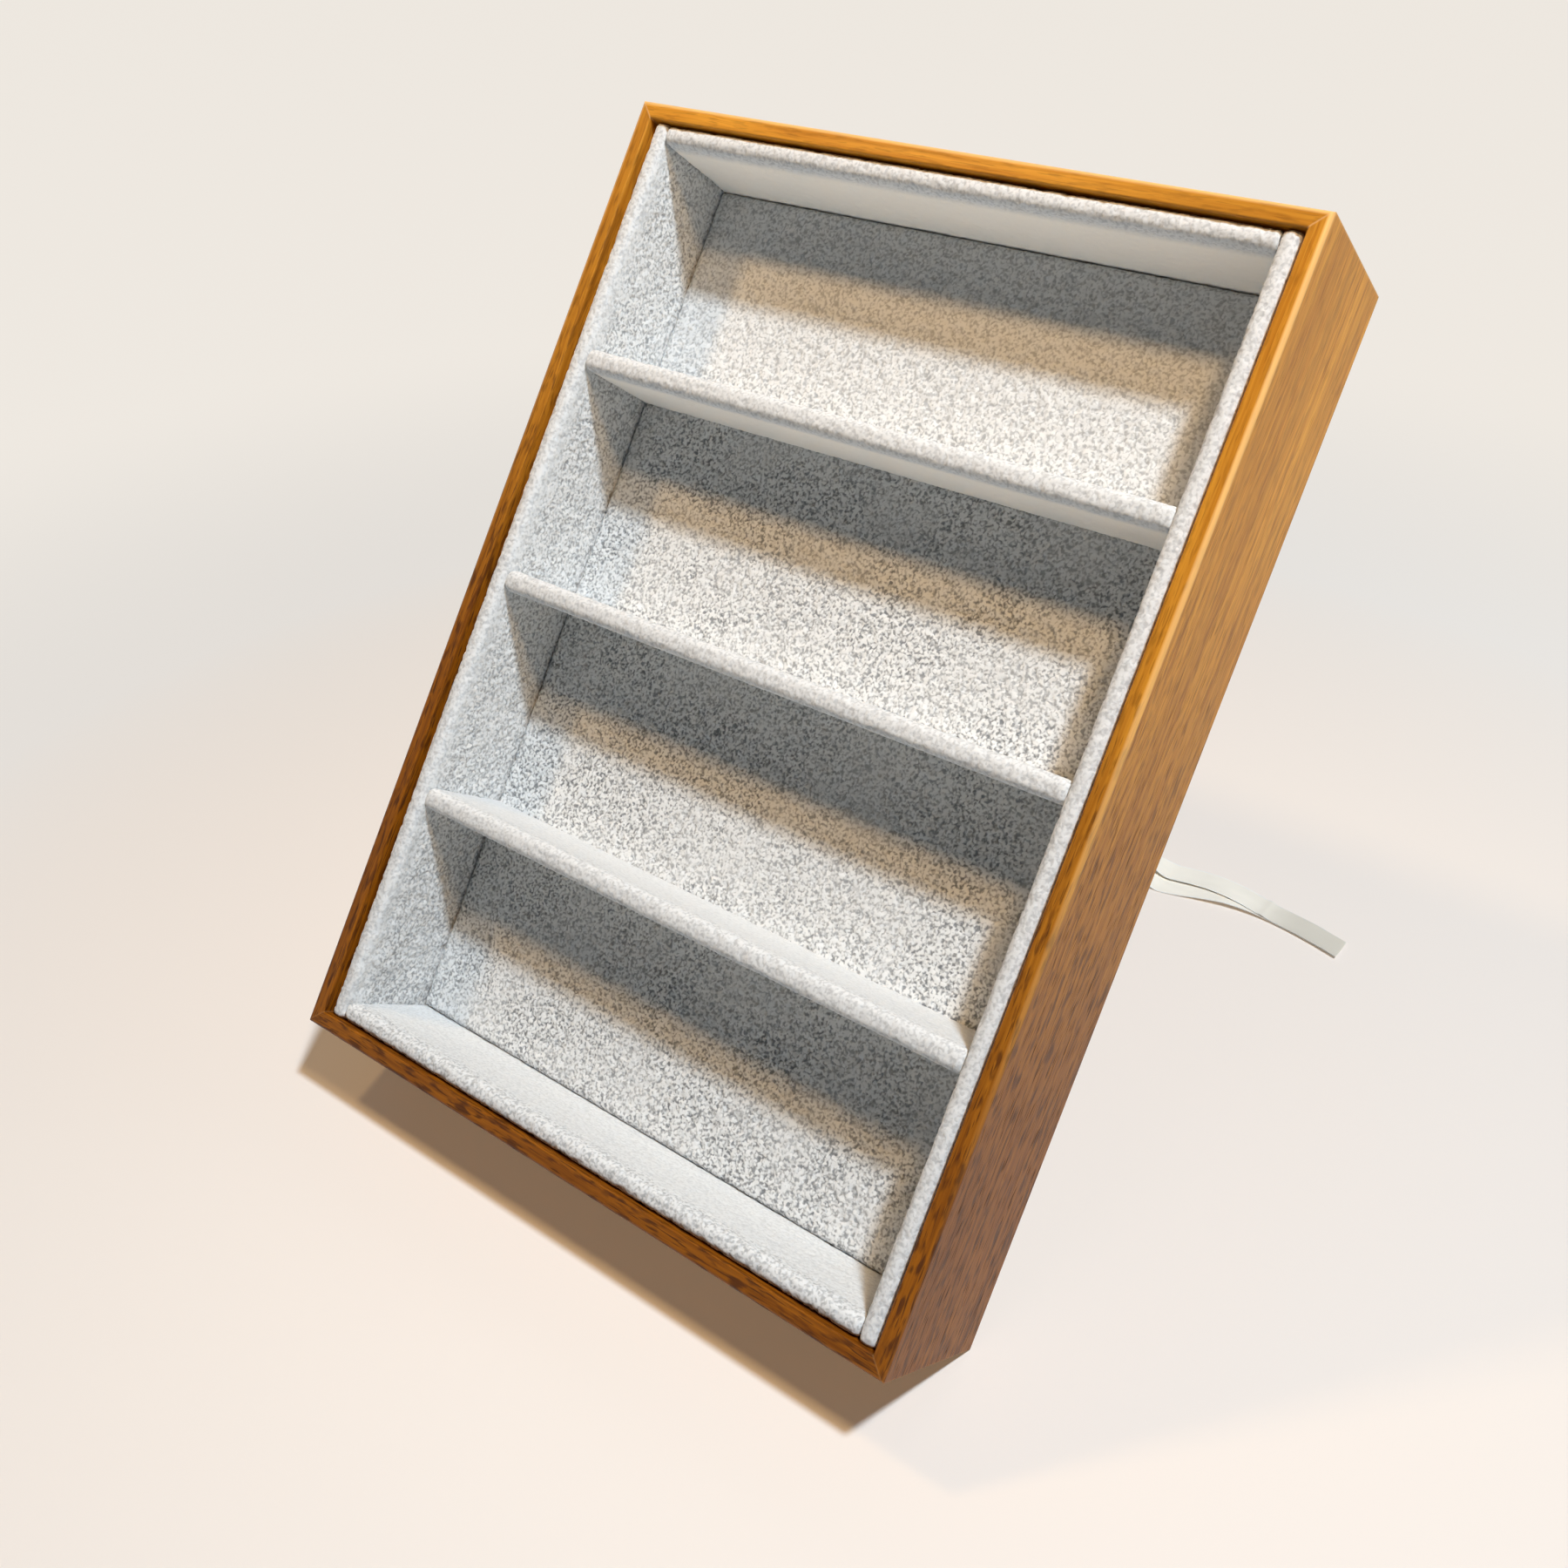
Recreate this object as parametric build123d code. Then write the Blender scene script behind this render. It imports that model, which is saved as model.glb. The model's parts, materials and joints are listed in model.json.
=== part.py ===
# Open-fronted display box for glasses: a mitred wood-grain case with a plush lining,
# three dividers and a strut leg, standing on its lower back edge and on the leg's foot.
from build123d import *
from math import cos, pi, radians, sin
import os

os.makedirs("parts", exist_ok=True)

# Case, in millimetres and degrees
case_width = 220.0
case_height = 300.0
case_depth = 52.0
wall_thickness = 5.0
outer_edge_radius = 1.2
inner_edge_radius = 0.5
lean_angle = 36.4

# Lining and dividers: a stiff board wrapped in plush
plush_thickness = 1.6
lining_board_thickness = 2.4
divider_board_thickness = 3.2
plush_edge_radius = 2.4
side_lining_gap = 1.0
end_lining_gap = 0.4
lining_setback = 1.5
divider_setback = 2.3
divider_count = 3

# Floor, battens and back
floor_seam = 0.4
floor_board_thickness = 3.0
back_panel_thickness = 4.0
back_panel_clearance = 0.2
batten_depth = 9.9
batten_width = 14.0
hinge_batten_width = 30.0

# Countersunk screws that hold the back panel to the battens
screw_shank_radius = 1.3
back_screw_length = 9.0
back_screw_head_radius = 2.7
back_screw_head_height = 1.5
back_screws_per_side = 3

# Strut leg and the bracket that it turns in
hinge_drop = 62.0
leg_slant = 20.0
leg_thickness = 8.0
leg_head_width = 36.0
leg_foot_width = 56.0
leg_neck_length = 14.0
leg_head_rise = 9.0
leg_edge_radius = 1.0
leg_corner_radius = 6.0
leg_neck_radius = 60.0
leg_clearance = 1.2
stop_gap = 0.15
pin_radius = 1.6
pin_clearance = 0.05
pin_head_radius = 2.8
pin_head_height = 1.2
bracket_thickness = 1.0
bracket_corner_radius = 3.0
bracket_flange = 13.0
bracket_rise = 15.0
bracket_drop = 12.0
ear_thickness = 1.2
ear_radius = 4.5
ear_gap = 0.3
bracket_screw_length = 9.0
bracket_screw_head_radius = 2.6
bracket_screw_head_height = 1.7
bracket_screw_spread = 14.0

# Ribbon loop that pulls the folded leg out, laid on the table, and the rivet that holds it
ribbon_width = 10.0
ribbon_thickness = 0.4
ribbon_ply_gap = 0.15
ribbon_overhang = 14.0
ribbon_tail = 7.0
ribbon_anchor_height = 14.0
ribbon_drop_length = 27.0
ribbon_offset = 4.4
ribbon_bow = 5.5
ribbon_table_gap = 0.1
rivet_offset = 12.0
rivet_shank_radius = 1.2
rivet_hole_clearance = 0.05
rivet_head_radius = 3.4
rivet_head_height = 1.4
rivet_clinch_radius = 2.4
rivet_clinch_height = 0.7
washer_radius = 4.4
washer_thickness = 0.5

# Worked out from the sizes above
lining_thickness = lining_board_thickness + 2 * plush_thickness
divider_thickness = divider_board_thickness + 2 * plush_thickness
side_inset = wall_thickness + side_lining_gap + lining_thickness
end_inset = wall_thickness + end_lining_gap + lining_thickness
bay_width = case_width - 2 * side_inset
inner_height = case_height - 2 * end_inset
bay_height = (inner_height - divider_count * divider_thickness) / (divider_count + 1)
back_panel_front = case_depth - back_panel_thickness
batten_front = back_panel_front - batten_depth
floor_board_front = batten_front - floor_board_thickness
floor_depth = floor_board_front - plush_thickness
hinge_height = case_height - hinge_drop
pin_standoff = leg_thickness / 2 + leg_clearance
nose_radius = pin_standoff - stop_gap

# Solids of the case and of the leg, by name, each set in its own frame
case = {}
leg = {}


# Case frame: X across, Y from the front to the back, Z up the case from its bottom.
# Each of the four sides is made lying on the bottom and turned to its place.
def on_side(side):
    places = {
        "bottom": Pos(0, 0, 0),
        "top": Pos(0, 0, case_height) * Rot(0, 180, 0),
        "left": Pos(-case_width / 2, 0, case_height / 2) * Rot(0, 90, 0),
        "right": Pos(case_width / 2, 0, case_height / 2) * Rot(0, -90, 0),
    }
    return places[side]


def slab(length, front, rear, low, high):
    return Pos(0, (front + rear) / 2, (low + high) / 2) * Box(length, rear - front, high - low)


def profile(front, rear, low, high):
    return Plane.YZ * Pos((front + rear) / 2, (low + high) / 2) * Rectangle(rear - front, high - low)


# Case walls: boards with rounded edges, cut to a mitre at both ends
def wall(length):
    section = profile(0, case_depth, 0, wall_thickness)
    section = fillet(section.vertices().group_by(Axis.Z)[0], outer_edge_radius)
    inner_front = section.vertices().group_by(Axis.Z)[-1].sort_by(Axis.Y)[0]
    section = fillet(inner_front, inner_edge_radius)
    board = extrude(section, amount=length / 2, both=True)
    half = length / 2
    inner_half = half - wall_thickness
    mitre = Polyline(
        (-half, 0, 0), (half, 0, 0), (inner_half, 0, wall_thickness), (-inner_half, 0, wall_thickness),
        close=True,
    )
    return board & extrude(make_face(mitre), amount=case_depth, dir=(0, 1, 0))


for side in ("top", "bottom"):
    case["wall_" + side] = on_side(side) * wall(case_width)
for side in ("left", "right"):
    case["wall_" + side] = on_side(side) * wall(case_height)


# A board wrapped in plush, which goes round the board's front edge
def plush_wrap(length, thickness, front, rear):
    section = profile(front, rear, 0, thickness)
    lips = section.vertices().group_by(Axis.Y)[0]
    section = fillet(lips, min(plush_edge_radius, 0.45 * thickness))
    section -= profile(front + plush_thickness, rear, plush_thickness, thickness - plush_thickness)
    return extrude(section, amount=length / 2, both=True)


def wrapped_board(length, thickness, front, rear):
    return slab(length, front + plush_thickness, rear, plush_thickness, thickness - plush_thickness)


# Linings stand on the battens: the side ones run full height, the end ones fit between them
side_lining_length = case_height - 2 * (wall_thickness + end_lining_gap)
side_lining = (side_lining_length, lining_thickness, lining_setback, batten_front)
end_lining = (bay_width, lining_thickness, lining_setback, batten_front)
for side in ("top", "bottom", "left", "right"):
    upright = side in ("left", "right")
    size = side_lining if upright else end_lining
    gap = side_lining_gap if upright else end_lining_gap
    place = on_side(side) * Pos(0, 0, wall_thickness + gap)
    case["lining_board_" + side] = place * wrapped_board(*size)
    case["lining_plush_" + side] = place * plush_wrap(*size)

# Dividers stand on the floor between the side linings, and are numbered from the top
divider = (bay_width, divider_thickness, divider_setback, floor_depth)
for number in range(1, divider_count + 1):
    level = case_height - end_inset - number * (bay_height + divider_thickness)
    case[f"divider_board_{number}"] = Pos(0, 0, level) * wrapped_board(*divider)
    case[f"divider_plush_{number}"] = Pos(0, 0, level) * plush_wrap(*divider)

# Floor: a board with plush on its front, lying on the battens inside the linings
floor_width = bay_width - 2 * floor_seam
floor_low = end_inset + floor_seam
floor_high = case_height - floor_low
case["floor_board"] = slab(floor_width, floor_board_front, batten_front, floor_low, floor_high)
case["floor_plush"] = slab(floor_width, floor_depth, floor_board_front, floor_low, floor_high)


# Screws are made along Z, with the face that they hold at zero, and turned to point to the front
def screw_place(x, y, z):
    return Pos(x, y, z) * Rot(-90, 0, 0)


def countersunk_screw():
    head = Cone(screw_shank_radius, back_screw_head_radius, back_screw_head_height)
    shank = Cylinder(screw_shank_radius, back_screw_length)
    return Pos(0, 0, -back_screw_head_height / 2) * head + Pos(0, 0, -back_screw_length / 2) * shank


def pan_head_screw():
    head = Cylinder(bracket_screw_head_radius, bracket_screw_head_height)
    head = chamfer(head.edges().group_by(Axis.Z)[-1], 0.5 * bracket_screw_head_height)
    shank = Cylinder(screw_shank_radius, bracket_screw_length)
    return Pos(0, 0, bracket_screw_head_height / 2) * head + Pos(0, 0, -bracket_screw_length / 2) * shank


inner_width = case_width - 2 * wall_thickness
batten_inset = wall_thickness + batten_width / 2
screw_x = case_width / 2 - batten_inset
screw_span = case_height - 2 * (batten_inset + batten_width)
screw_step = screw_span / (back_screws_per_side - 1)
side_screw_levels = [
    case_height / 2 + screw_step * step - screw_span / 2 for step in range(back_screws_per_side)
]
back_screw_spots = [(x, z) for x in (-screw_x, screw_x) for z in side_screw_levels]
back_screws = [screw_place(x, case_depth, z) * countersunk_screw() for x, z in back_screw_spots]

bracket_inner = leg_head_width / 2 + ear_gap
bracket_outer = bracket_inner + ear_thickness
bracket_half = bracket_outer + bracket_flange
bracket_screw_x = bracket_outer + bracket_flange / 2
bracket_face = case_depth + bracket_thickness
bracket_screws = [
    screw_place(x, bracket_face, hinge_height + rise) * pan_head_screw()
    for x in (-bracket_screw_x, bracket_screw_x)
    for rise in (-bracket_screw_spread / 2, bracket_screw_spread / 2)
]
case["back_screws"] = Compound(children=back_screws)
case["bracket_screws"] = Compound(children=bracket_screws)

# Battens: a frame in the hollow behind the floor, and one across it behind the bracket
end_batten_length = inner_width - 2 * batten_width
batten_lengths = {
    "left": case_height - 2 * wall_thickness,
    "right": case_height - 2 * wall_thickness,
    "top": end_batten_length,
    "bottom": end_batten_length,
}
for side, length in batten_lengths.items():
    batten = slab(length, batten_front, back_panel_front, wall_thickness, wall_thickness + batten_width)
    case["batten_" + side] = on_side(side) * batten - back_screws
case["batten_hinge"] = slab(
    end_batten_length, batten_front, back_panel_front,
    hinge_height - hinge_batten_width / 2, hinge_height + hinge_batten_width / 2,
) - bracket_screws

# Back panel: set between the walls, flush with their rear edges
back_panel = slab(
    inner_width - 2 * back_panel_clearance, back_panel_front, case_depth,
    wall_thickness + back_panel_clearance, case_height - wall_thickness - back_panel_clearance,
)
case["back_panel"] = back_panel - back_screws - bracket_screws

# Bracket: a plate with two ears bent up from it, which carry the pin
pin_depth = bracket_face + pin_standoff
pin_axis = Pos(0, pin_depth, hinge_height) * Rot(0, 90, 0)
plate = slab(
    2 * bracket_half, case_depth, bracket_face,
    hinge_height - bracket_drop, hinge_height + bracket_rise,
)
plate = fillet(plate.edges().filter_by(Axis.Y), bracket_corner_radius)
ear_section = profile(case_depth, pin_depth, hinge_height - ear_radius, hinge_height + ear_radius)
ear_section += Plane.YZ * Pos(pin_depth, hinge_height) * Circle(ear_radius)
ear = extrude(ear_section, amount=ear_thickness)
bracket = plate + Pos(bracket_inner, 0, 0) * ear + Pos(-bracket_outer, 0, 0) * ear
bracket -= pin_axis * Cylinder(pin_radius, 2 * bracket_half)
case["leg_bracket"] = bracket - bracket_screws

pin_head = Cylinder(pin_head_radius, pin_head_height)
pin_head = chamfer(pin_head.edges().group_by(Axis.Z)[-1], 0.4 * pin_head_height)
pin_head = Pos(0, 0, bracket_outer + pin_head_height / 2) * pin_head
pin_shaft = Cylinder(pin_radius, 2 * bracket_outer)
case["leg_pin"] = pin_axis * (pin_shaft + pin_head + Rot(180, 0, 0) * pin_head)

# The case leans back about its lower rear edge, whose rounding just touches the table
lean = radians(lean_angle)
edge_lift = outer_edge_radius * (sin(lean) + cos(lean) - 1)
case_place = Pos(0, 0, -edge_lift) * Rot(-lean_angle, 0, 0) * Pos(0, -case_depth, 0)

# Leg frame: the pin at its origin, Z up along the leg, Y out of its rear face
slant = radians(leg_slant)
open_angle = lean_angle + leg_slant
pin_point = (case_place * Pos(0, pin_depth, hinge_height)).position
leg_place = Pos(pin_point) * Rot(leg_slant, 0, 0)
half_thickness = leg_thickness / 2


# Level in the leg frame at which a point this far behind the leg's middle meets the table
def table_level(y):
    return -(pin_point.Z + y * sin(slant)) / cos(slant)


# Side view of the leg: the foot is cut to lie on the table, and the head has a round nose and
# a flat, which comes to lie against the bracket's plate and stops the leg when it is open
stock = make_face(Polyline(
    (-half_thickness, table_level(-half_thickness)), (half_thickness, table_level(half_thickness)),
    (half_thickness, 0), (-half_thickness, 0),
    close=True,
))
tangent = radians(90 - open_angle)
flat_reach = leg_head_rise + leg_thickness
stop_flat = Pos(cos(tangent) * flat_reach / 2, sin(tangent) * flat_reach / 2)
stop_flat *= Rot(0, 0, 90 - open_angle)
head = Circle(nose_radius) + stop_flat * Rectangle(flat_reach, 2 * nose_radius)
head &= Pos(0, leg_head_rise / 2) * Rectangle(leg_thickness, leg_head_rise)
leg_side = extrude(Plane.YZ * (stock + head), amount=leg_foot_width / 2, both=True)

# Front view of the leg: a straight neck between the ears, then a taper to a wider foot
foot_level = table_level(half_thickness)
leg_outline = make_face(Polyline(
    (-leg_head_width / 2, leg_head_rise), (leg_head_width / 2, leg_head_rise),
    (leg_head_width / 2, -leg_neck_length), (leg_foot_width / 2, foot_level),
    (-leg_foot_width / 2, foot_level), (-leg_head_width / 2, -leg_neck_length),
    close=True,
))
leg_outline = fillet(leg_outline.vertices().group_by(Axis.Y)[0], leg_corner_radius)
necks = leg_outline.vertices().group_by(Axis.Y)[-2]
leg_outline = fillet(necks, leg_neck_radius)
leg_blank = extrude(Plane.XZ * leg_outline, amount=half_thickness, both=True)
leg_blank = fillet(leg_blank.faces().filter_by(Axis.Y).edges(), leg_edge_radius)
leg_board = leg_side & leg_blank

# The ribbon's plies lie on the leg's rear face, under a washer and a rivet
ribbon_stack = 2 * ribbon_thickness + ribbon_ply_gap
anchor_level = table_level(0) + ribbon_anchor_height
rivet_bore_length = leg_thickness + ribbon_stack + washer_thickness
rivet_axis = Pos(rivet_offset, half_thickness, anchor_level) * Rot(-90, 0, 0)
rivet_hole = rivet_axis * Cylinder(rivet_shank_radius + rivet_hole_clearance, 2 * rivet_bore_length)
leg_board -= Rot(0, 90, 0) * Cylinder(pin_radius + pin_clearance, 2 * leg_foot_width)
leg["leg_board"] = leg_board - rivet_hole

washer = Pos(0, 0, ribbon_stack + washer_thickness / 2) * Cylinder(washer_radius, washer_thickness)
leg["ribbon_washer"] = rivet_axis * washer - rivet_hole
rivet_top = ribbon_stack + washer_thickness
rivet_head = Cylinder(rivet_head_radius, rivet_head_height)
rivet_head = chamfer(rivet_head.edges().group_by(Axis.Z)[-1], 0.6 * rivet_head_height)
rivet_clinch = Cylinder(rivet_clinch_radius, rivet_clinch_height)
rivet_clinch = chamfer(rivet_clinch.edges().group_by(Axis.Z)[0], 0.4 * rivet_clinch_height)
rivet = Pos(0, 0, rivet_top - rivet_bore_length / 2) * Cylinder(rivet_shank_radius, rivet_bore_length)
rivet += Pos(0, 0, rivet_top + rivet_head_height / 2) * rivet_head
rivet += Pos(0, 0, -leg_thickness - rivet_clinch_height / 2) * rivet_clinch
leg["ribbon_rivet"] = rivet_axis * rivet

# Ribbon: from the rivet across the leg, down in a quarter twist, and along the table to its fold.
# Each station is a middle point and the direction of the ribbon's width, in the standing frame.
face_turn = 90 + leg_slant
edge_x = leg_foot_width / 2
landing_x = edge_x + ribbon_drop_length
tip_x = case_width / 2 + ribbon_overhang
face_point = leg_place * Pos(0, half_thickness + ribbon_stack / 2, anchor_level)
table_y = (leg_place * Pos(0, 0, table_level(0))).position.Y + ribbon_offset
table_z = ribbon_table_gap + ribbon_stack / 2
stations = [(rivet_offset - ribbon_tail, face_point.position.Y, face_point.position.Z, face_turn)]
drop_steps = 8
for step in range(drop_steps + 1):
    share = step / drop_steps
    ease = share * share * (3 - 2 * share)
    stations.append((
        edge_x + share * ribbon_drop_length,
        face_point.position.Y + ease * (table_y - face_point.position.Y),
        face_point.position.Z + ease * (table_z - face_point.position.Z),
        face_turn + ease * (180 - face_turn),
    ))
table_steps = 8
for step in range(1, table_steps + 1):
    share = step / table_steps
    stations.append((
        landing_x + share * (tip_x - landing_x), table_y + ribbon_bow * sin(pi * share), table_z, 180,
    ))


def ribbon_section(x, y, z, turn):
    across = (0, cos(radians(turn)), sin(radians(turn)))
    return Plane(origin=(x, y, z), x_dir=across, z_dir=(1, 0, 0)) * Rectangle(ribbon_width, ribbon_stack)


ribbon = loft([ribbon_section(*station) for station in stations], ruled=True)

# Everything is moved so that the origin lies under the middle of the object, on the table
standing = {name: case_place * solid for name, solid in case.items()}
standing.update({name: leg_place * solid for name, solid in leg.items()})
standing["pull_ribbon"] = ribbon - leg_place * rivet_hole
bounds = Compound(list(standing.values())).bounding_box()
origin_shift = Pos(-bounds.center().X, -bounds.center().Y, -bounds.min.Z)
for name, solid in standing.items():
    export_step(origin_shift * solid, f"parts/{name}.step")


# Points that the record needs, in millimetres
def tell(label, place):
    point = (origin_shift * place).position
    print(f"{label} {point.X:.4f} {point.Y:.4f} {point.Z:.4f}")


print(f"lowest point before the shift {bounds.min.Z:.4f}")
print(f"leg opening {open_angle:.4f} degrees, bay {bay_width:.2f} x {bay_height:.2f}")
tell("hinge", Pos(pin_point))
tell("foot", leg_place * Pos(0, 0, table_level(0)))
tell("case_corner", case_place)
tell("bottom_face", case_place * Pos(0, case_depth / 2, 0))
tell("back_face", case_place * Pos(0, case_depth, case_height / 2))
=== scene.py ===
import json
import math

import bpy
from mathutils import Matrix, Vector, noise


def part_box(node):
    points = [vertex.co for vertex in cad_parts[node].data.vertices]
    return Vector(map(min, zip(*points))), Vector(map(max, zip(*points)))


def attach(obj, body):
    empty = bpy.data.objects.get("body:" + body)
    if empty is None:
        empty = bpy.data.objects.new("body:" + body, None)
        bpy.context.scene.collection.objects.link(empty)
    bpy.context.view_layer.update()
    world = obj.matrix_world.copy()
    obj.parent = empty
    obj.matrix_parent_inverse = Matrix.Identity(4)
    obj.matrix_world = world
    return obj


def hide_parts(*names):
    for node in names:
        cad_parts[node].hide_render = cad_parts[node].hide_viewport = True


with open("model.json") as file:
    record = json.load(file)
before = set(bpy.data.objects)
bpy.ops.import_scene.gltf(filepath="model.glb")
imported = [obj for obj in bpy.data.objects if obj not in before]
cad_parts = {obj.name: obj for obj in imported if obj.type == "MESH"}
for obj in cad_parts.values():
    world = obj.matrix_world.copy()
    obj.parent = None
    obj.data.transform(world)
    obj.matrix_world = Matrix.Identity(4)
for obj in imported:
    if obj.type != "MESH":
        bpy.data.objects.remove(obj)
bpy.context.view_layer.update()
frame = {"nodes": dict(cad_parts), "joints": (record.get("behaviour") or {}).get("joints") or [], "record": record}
nodes = frame["nodes"]
mm = 0.001

# Walls: four fibreboard boards, mitred at the corners and wrapped in a satin film that is printed
# with a golden-brown wood grain. The grain runs along each board and over its rounded edges, and
# a pale line shows where two films meet at a mitre.
wall_names = ["wall_top", "wall_bottom", "wall_left", "wall_right"]
across = Vector((1, 0, 0))
up_the_case = -Vector(
    next(mount["axis"] for mount in frame["record"]["mounts"] if mount["name"] == "case_bottom")
)
turn_to_case = Matrix((across, up_the_case.cross(across), up_the_case)).to_4x4()


def points_in(turn, names):
    return [turn @ vertex.co for name in names for vertex in nodes[name].data.vertices]


def corners_of(points):
    low = Vector([min(point[axis] for point in points) for axis in range(3)])
    high = Vector([max(point[axis] for point in points) for axis in range(3)])
    return low, high


# Case axes: X across from the middle, Y from the front to the back, Z up from the bottom
walls_low, walls_high = corners_of(points_in(turn_to_case, wall_names))
case_width, _, case_height = walls_high - walls_low
case_corner = Vector(((walls_low.x + walls_high.x) / 2, walls_low.y, walls_low.z))
to_case = Matrix.Translation(-case_corner) @ turn_to_case
from_case = to_case.inverted()


def case_box(name):
    return corners_of(points_in(to_case, [name]))


def paint(code):
    parts = [int(code[place:place + 2], 16) / 255 for place in (1, 3, 5)]
    linear = [part / 12.92 if part <= 0.04045 else ((part + 0.055) / 1.055) ** 2.4 for part in parts]
    return (*linear, 1.0)


def add_node(tree, kind, inputs=None, **settings):
    node = tree.nodes.new("ShaderNode" + kind)
    for name, value in settings.items():
        setattr(node, name, value)
    for socket, value in (inputs or {}).items():
        if isinstance(value, bpy.types.NodeSocket):
            tree.links.new(value, node.inputs[socket])
        else:
            node.inputs[socket].default_value = value
    return node


def new_material(name, **sockets):
    material = bpy.data.materials.new(name)
    material.use_nodes = True
    shader = material.node_tree.nodes["Principled BSDF"]
    for socket, value in sockets.items():
        shader.inputs[socket.replace("_", " ")].default_value = value
    return material, material.node_tree, shader


def millimetres(tree, placing):
    """Object coordinates in millimetres, placed by a matrix."""
    placed = add_node(tree, "Mapping", {
        "Vector": add_node(tree, "TexCoord").outputs["Object"],
        "Scale": (1 / mm, 1 / mm, 1 / mm),
        "Rotation": placing.to_euler(),
        "Location": placing.translation / mm,
    })
    return placed.outputs["Vector"]


def stretched(tree, vector, grain, cross):
    """Coordinates in which one unit is a grain length along X and a grain width across."""
    scale = (1 / grain, 1 / cross, 1 / cross)
    return add_node(tree, "VectorMath", {0: vector, 1: scale}, operation="MULTIPLY").outputs[0]


def wear(names, material):
    for name in names:
        for slot in nodes[name].material_slots:
            slot.material = material


def wood_film(name, placing, mitred):
    """The film on boards whose grain `placing` turns to X. The walls' film also shows mitres, painted light that
    makes it lighter and golden towards the upper right, and a painted highlight on its outer front edge.
    """
    material, tree, shader = new_material(name, Roughness=0.4, IOR=1.48)
    shader.inputs["Specular IOR Level"].default_value = 0.2
    place = millimetres(tree, placing)
    # The print's lines wander by about 1 mm over 40 mm of board
    wander = add_node(tree, "TexNoise", {"Vector": stretched(tree, place, 42, 14), "Scale": 1, "Detail": 1})
    wander = add_node(tree, "VectorMath", {
        0: wander.outputs["Color"], 1: (0.5, 0.5, 0.5),
    }, operation="SUBTRACT")
    wander = add_node(tree, "VectorMath", {0: wander.outputs[0], 1: (0, 2.6, 2.6)}, operation="MULTIPLY")
    place = add_node(tree, "VectorMath", {0: place, 1: wander.outputs[0]}, operation="ADD").outputs[0]
    # Growth bands 9 mm wide, streaks 1.3 mm wide, flecks 1.6 mm wide and pores 0.4 mm wide
    bands = add_node(tree, "TexNoise", {"Vector": stretched(tree, place, 170, 9), "Scale": 1, "Detail": 1})
    streaks = add_node(tree, "TexNoise", {
        "Vector": stretched(tree, place, 60, 1.3), "Scale": 1, "Detail": 3, "Roughness": 0.6,
    })
    flecks = add_node(tree, "TexNoise", {
        "Vector": stretched(tree, place, 7.5, 1.6), "Scale": 1, "Detail": 2,
    })
    pores = add_node(tree, "TexNoise", {"Vector": stretched(tree, place, 6, 0.4), "Scale": 1, "Detail": 0})
    streak_share = add_node(tree, "MapRange", {
        "Value": streaks.outputs[0], "From Min": 0.34, "From Max": 0.66,
    })
    colour = add_node(tree, "Mix", {
        0: streak_share.outputs[0], 6: paint("#6F3B05"), 7: paint("#985A0F"),
    }, data_type="RGBA")
    mark_strength = 0.66
    if mitred:
        # Painted light: a lighter, golden copy of the film's colours stands for the light and highlight on the
        # upper right
        painted_light = painted_light_share(tree)
        # The dark marks fade where the light is painted in
        mark_strength = add_node(tree, "MapRange", {
            "Value": painted_light, "To Min": 0.88, "To Max": 0.22,
        }).outputs[0]
        golden = add_node(tree, "Mix", {
            0: streak_share.outputs[0], 6: paint("#C07B20"), 7: paint("#E29E34"),
        }, data_type="RGBA")
        colour = add_node(tree, "Mix", {
            0: painted_light, 6: colour.outputs[2], 7: golden.outputs[2],
        }, data_type="RGBA")
    band_share = add_node(tree, "MapRange", {
        "Value": bands.outputs[0], "From Min": 0.4, "From Max": 0.7, "To Max": 0.4,
    })
    colour = add_node(tree, "Mix", {
        0: band_share.outputs[0], 6: colour.outputs[2], 7: paint("#824C12"),
    }, data_type="RGBA")
    fleck_share = add_node(tree, "MapRange", {
        "Value": flecks.outputs[0], "From Min": 0.52, "From Max": 0.66, "To Max": mark_strength,
    })
    colour = add_node(tree, "Mix", {
        0: fleck_share.outputs[0], 6: colour.outputs[2], 7: paint("#4C2608"),
    }, data_type="RGBA")
    pore_share = add_node(tree, "MapRange", {
        "Value": pores.outputs[0], "From Min": 0.62, "From Max": 0.72, "To Max": mark_strength,
    })
    colour = add_node(tree, "Mix", {
        0: pore_share.outputs[0], 6: colour.outputs[2], 7: paint("#4E2A0A"),
    }, data_type="RGBA")
    if mitred:
        colour = add_node(tree, "Mix", {
            0: mitre_line(tree), 6: colour.outputs[2], 7: paint("#DDB07A"),
        }, data_type="RGBA")
        # A painted highlight on the round of the outer front edge
        colour = add_node(tree, "Mix", {
            0: painted_edge_highlight(tree), 6: colour.outputs[2], 7: paint("#FFD08A"),
        }, data_type="RGBA")
    tree.links.new(colour.outputs[2], shader.inputs["Base Color"])
    gloss = add_node(tree, "MapRange", {"Value": pore_share.outputs[0], "To Min": 0.36, "To Max": 0.65})
    tree.links.new(gloss.outputs[0], shader.inputs["Roughness"])
    # The film is embossed with its pores, about 0.04 mm deep
    relief = add_node(tree, "Math", {0: pore_share.outputs[0], 1: -1.0}, operation="MULTIPLY")
    relief = add_node(tree, "Bump", {"Height": relief.outputs[0], "Distance": 0.04 * mm, "Strength": 1.0})
    tree.links.new(relief.outputs[0], shader.inputs["Normal"])
    return material


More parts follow.
